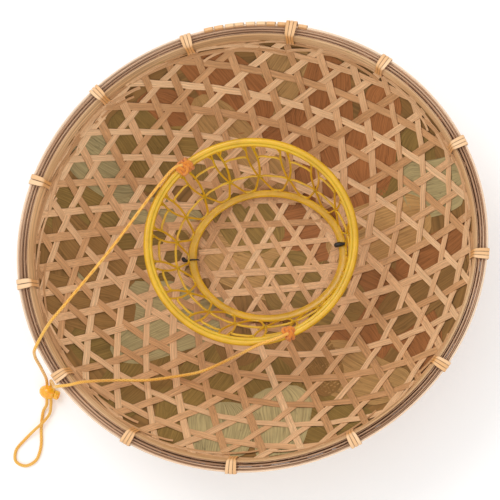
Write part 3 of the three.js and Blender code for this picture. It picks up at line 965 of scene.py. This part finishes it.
def build_splice(look):
    """Close turns of rattan over the joint of the outer hoop."""
    bm = start_mesh()
    luck = random.Random(8)
    step = math.radians(SPLICE_TO - SPLICE_FROM) / SPLICE_WRAPS
    wide = 0.86 * step * EDGE_RADIUS
    for i in range(SPLICE_WRAPS):
        middle = math.radians(SPLICE_FROM) + (i + 0.5 + luck.uniform(-0.06, 0.06)) * step
        band(bm, SPLICE_OUTLINE, lambda u: middle, lambda u: wide, i)
    thicken(bm, RATTAN_THICK)
    finish_mesh(bm, "splice_turns", look, "rattan", ["splice_wrap"], sharp=50)


# Head ring

# Bars of one lattice repeat, as (share of the repeat, height up the wall) points.
RING_BARS = [
    [(0.0, 0.0200), (0.075, 0.0285), (0.135, 0.0390), (0.140, 0.0500), (0.095, 0.0610), (0.05, 0.0690)],
    [(0.0, 0.0220), (0.08, 0.0170), (0.21, 0.0085), (0.33, 0.0030), (0.5, 0.0016)],
    [(0.0, 0.0215), (0.20, 0.0228), (0.5, 0.0224)],
    [(0.142, 0.0480), (0.30, 0.0492), (0.5, 0.0490)],
    [(0.110, 0.0570), (0.22, 0.0635), (0.36, 0.0670), (0.5, 0.0680)],
]
BAR_HALF = 0.00105
HOOP_RADIUS = 0.0897
HOOP_UP = 0.0030
HOOP_HALF = 0.0028


def ring_wall(azimuth, up):
    """A point in the middle of the slanted wall."""
    widening = (WALL_TOP_RADIUS - FLANGE_OUTER) * up / (WALL_TOP - FLANGE_THICK)
    return on_ring(azimuth, FLANGE_OUTER - WALL_THICK / 2 + widening, FLANGE_THICK + up)


def ring_sections():
    """Closed (radius, height) outlines of the large ring's round hoop, its ledge and the small ring."""
    round_hoop = [
        (HOOP_RADIUS + HOOP_HALF * math.cos(a), WALL_TOP + HOOP_UP + HOOP_HALF * math.sin(a))
        for a in np.radians(np.arange(0, 360, 30))
    ]
    ledge = [
        (0.0850, WALL_TOP + 0.0006), (0.0885, WALL_TOP + 0.0002), (0.0890, WALL_TOP + 0.0024),
        (0.0884, WALL_TOP + 0.0042), (0.0858, WALL_TOP + 0.0040), (0.0849, WALL_TOP + 0.0030),
    ]
    small_ring = [
        (FLANGE_INNER, 0.0004), (FLANGE_INNER + 0.0005, 0.0), (FLANGE_OUTER - 0.0005, 0.0),
        (FLANGE_OUTER, 0.0006), (FLANGE_OUTER + 0.0002, 0.0018), (FLANGE_OUTER - 0.0008, 0.0024),
        (FLANGE_OUTER - 0.0016, 0.0018), (FLANGE_INNER + 0.0010, 0.0016),
        (FLANGE_INNER + 0.0004, 0.0020), (FLANGE_INNER, 0.0016),
    ]
    return round_hoop, ledge, small_ring


def build_head_ring(look):
    """The lattice's round bars, and the two rings that they join."""
    bm = start_mesh()
    step = 2 * math.pi / RING_REPEATS
    for i in range(RING_REPEATS):
        middle = math.radians(RING_PHASE) + i * step
        for bar in RING_BARS:
            for mirror in (1, -1):
                points = [
                    ring_wall(np.array(middle + mirror * share * step), np.array(up))
                    for share, up in bar
                ]
                tube(bm, smooth_line(points, 4), BAR_HALF, 6, i, flat=0.9)
    for number, section in enumerate(ring_sections(), RING_REPEATS):

        def place(u, v):
            radius, height = outline_at(section, v)
            return on_ring(2 * math.pi * u, radius, height)

        grid(bm, ROUND_STEPS, len(section), place, number, close_rows=True, close_columns=True)
    finish_mesh(bm, "lattice_ring", look, "amber_plastic", ["head_ring"], sharp=60)


# Cord, knots, lock and ties

# Knots on the large ring: azimuth in degrees, turns round the ring, size of the knotted loop.
KNOTS = {"cord_knot_left": (130, 4, 0.0021), "cord_knot_right": (-68, 2, 0.0017)}
KNOT_SPREAD = 0.036
KNOT_LEAN = 0.012
KNOT_RADIUS = 0.0885
KNOT_UP = 0.0029
KNOT_HALF_WIDTH = 0.0053
KNOT_HALF_HEIGHT = 0.0043
KNOT_TOP_RADIUS = 0.0875
KNOT_TOP_UP = 0.0062
KNOT_CORD_RADIUS = 0.0016
KNOT_TOP_CORD_RADIUS = 0.0015

LOCK_PLACE = (-0.2009, -0.1160, 0.0064)
LOCK_TURN = math.radians(-18)
LOCK_RADIUS = 0.0064
LOCK_HALF = 0.0082

# Ties: azimuth in degrees, then where along the wire its thickness changes, and to how much.
TIES = {
    "tie_left": (183, ([0, 0.5, 0.68, 0.85, 1], [0.8, 0.9, 2.6, 2.6, 0.8])),
    "tie_right": (9, ([0, 0.1, 0.3, 0.5, 1], [1.6, 3.0, 3.0, 1.1, 0.8])),
}
WIRE_RADIUS = 0.00075

# The wire's path over the small ring: outwards, upwards and round it.
WIRE_PATH = [
    (-0.0017, -0.0022, 0), (-0.0014, 0.0006, 0), (0.0010, 0.0016, 0), (0.0050, 0.0017, 0),
    (0.0080, 0.0022, 0.01), (0.0100, 0.0030, 0.0), (0.0108, 0.0018, -0.02), (0.0094, 0.0010, 0.0),
]


def build_cord(look):
    bm = start_mesh()
    line = smooth_line(CORD_ROUTE, 7)
    lengths = np.linalg.norm(np.diff(line, axis=0), axis=1)
    tube(bm, line, CORD_RADIUS, 10)
    return finish_mesh(bm, "braided_cord", look, "orange_cord", ["chin_cord"]), line, float(lengths.sum())


def build_knots(look):
    """Each knot: turns of cord round the large ring, and a knotted loop on top of them."""
    turn = np.linspace(0, 2 * math.pi, 25)
    r = KNOT_RADIUS + KNOT_HALF_WIDTH * np.cos(turn)
    z = WALL_TOP + KNOT_UP + KNOT_HALF_HEIGHT * np.sin(turn)
    t = np.linspace(0, 2 * math.pi, 60)
    across, upward = np.sin(t) + 2 * np.sin(2 * t), np.cos(t) - 2 * np.cos(2 * t)
    loop = np.stack([across, upward, -0.9 * np.sin(3 * t)], -1)
    for name, (azimuth, turns, size) in KNOTS.items():
        bm = start_mesh()
        middle = math.radians(azimuth)
        for i in range(turns):
            spread = KNOT_SPREAD * (i - (turns - 1) / 2)
            line = on_ring(middle + spread + KNOT_LEAN * np.sin(turn), r, z)
            tube(bm, line, KNOT_CORD_RADIUS, 8, i, closed=True)
        top = np.array(WALL_TOP + KNOT_TOP_UP)
        centre = on_ring(np.array(middle), np.array(KNOT_TOP_RADIUS), top)
        tube(bm, loop * size + centre, KNOT_TOP_CORD_RADIUS, 8, 5, closed=True)
        finish_mesh(bm, name + "_loops", look, "orange_cord", [name])


def turned(bm, profile, steps):
    """A (radius, along) outline spun about +Z, closed at both ends on the axis."""
    verts = [bm.verts.new((r, 0, along)) for r, along in profile]
    edges = [bm.edges.new(pair) for pair in zip(verts, verts[1:])]
    bmesh.ops.spin(
        bm, geom=verts + edges, cent=(0, 0, 0), axis=(0, 0, 1), angle=2 * math.pi, steps=steps,
        use_merge=True,
    )
    bmesh.ops.remove_doubles(bm, verts=bm.verts[:], dist=1e-6)


def build_lock(look):
    """The egg-shaped body and the push button at its end, laid on the floor."""
    laid = Matrix.Rotation(LOCK_TURN, 4, "Z") @ Matrix.Rotation(math.pi / 2, 4, "Y")
    stand = Matrix.Translation(LOCK_PLACE) @ laid
    side = [
        (LOCK_RADIUS * math.cos(t), LOCK_HALF * math.sin(t))
        for t in np.linspace(-math.pi / 2, 0.895, 14)[1:]
    ]
    egg = [(0.0, -LOCK_HALF), *side, (0.0032, 0.0066), (0.0, 0.0064)]
    button = [
        (0.0, 0.0066), (0.0034, 0.0066), (0.0041, 0.0071), (0.0042, 0.0098), (0.0039, 0.0105),
        (0.0033, 0.0105), (0.0030, 0.0098), (0.0, 0.0090),
    ]
    profiles = {"lock_egg": ("cord_lock_body", egg), "lock_push_button": ("cord_lock_button", button)}
    for name, (node, profile) in profiles.items():
        bm = start_mesh()
        turned(bm, profile, 28)
        bmesh.ops.transform(bm, matrix=stand, verts=bm.verts[:])
        finish_mesh(bm, name, look, "lock_plastic", [node])


def build_ties(look):
    """Wires from under the small ring, over it and outwards, with a twisted knob."""
    for name, (azimuth, thin) in TIES.items():
        bm = start_mesh()
        middle = math.radians(azimuth)
        points = [
            on_ring(np.array(middle + turn), np.array(FLANGE_INNER + out), np.array(FLANGE_THICK + up))
            for out, up, turn in WIRE_PATH
        ]
        tube(bm, smooth_line(points, 5), WIRE_RADIUS, 8, thin=thin)
        finish_mesh(bm, name + "_wire", look, "black_wire", [name])


def build_floor():
    bm = bmesh.new()
    bmesh.ops.create_grid(bm, x_segments=4, y_segments=4, size=4)
    mesh = bpy.data.meshes.new("floor")
    bm.to_mesh(mesh)
    bm.free()
    material, shader, place = start_material("pale floor", Roughness=0.9, Emission_Strength=0.09)
    grain = noise(place, 8.0, 2.0)
    feed(shader, place, mix(grain, (0.94, 0.94, 0.94), (0.96, 0.96, 0.96)), 0.85 + 0.1 * grain)
    mesh.materials.append(material)
    floor = bpy.data.objects.new("floor", mesh)
    bpy.context.scene.collection.objects.link(floor)


add_camera()
add_sky(0.96)
add_lamp("key light", place=(-1.0, 1.2, 2.6), size=1.6, power=22, colour=(1.0, 0.98, 0.95))
add_lamp("fill light", place=(1.5, -1.6, 2.2), size=2.2, power=8, colour=(0.98, 0.99, 1.0))
build_floor()

cord_look = cord_material("braided cord", ((0.96, 0.57, 0.11), (0.92, 0.49, 0.075)))
cord, cord_line, cord_length = build_cord(cord_look)
build_knots(cord_material("knotted cord", ((0.98, 0.36, 0.02), (0.95, 0.27, 0.01))))
build_lock(lock_plastic())

weave_look = weave_bamboo()
inner_weave = Weave(*INNER_LAY, seed=3, hole=CROWN_HOLE)
outer_weave = Weave(*OUTER_LAY, seed=9)
build_weave(
    "inner_strips", "inner_weave", weave_look, inner_weave, INNER_DEPTH, 1, INNER_WIDTHS,
    crown_strips() + edge_strips(),
)
build_weave("outer_strips", "outer_weave", weave_look, outer_weave, OUTER_DEPTH, -1, OUTER_WIDTHS)
build_leaves()
build_rim()
rattan_look = rattan()
build_bindings(rattan_look)
build_splice(rattan_look)
build_head_ring(amber_plastic())
build_ties(black_wire())

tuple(CORD_ROUTE[0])
[tuple(p) for p in cord_line]
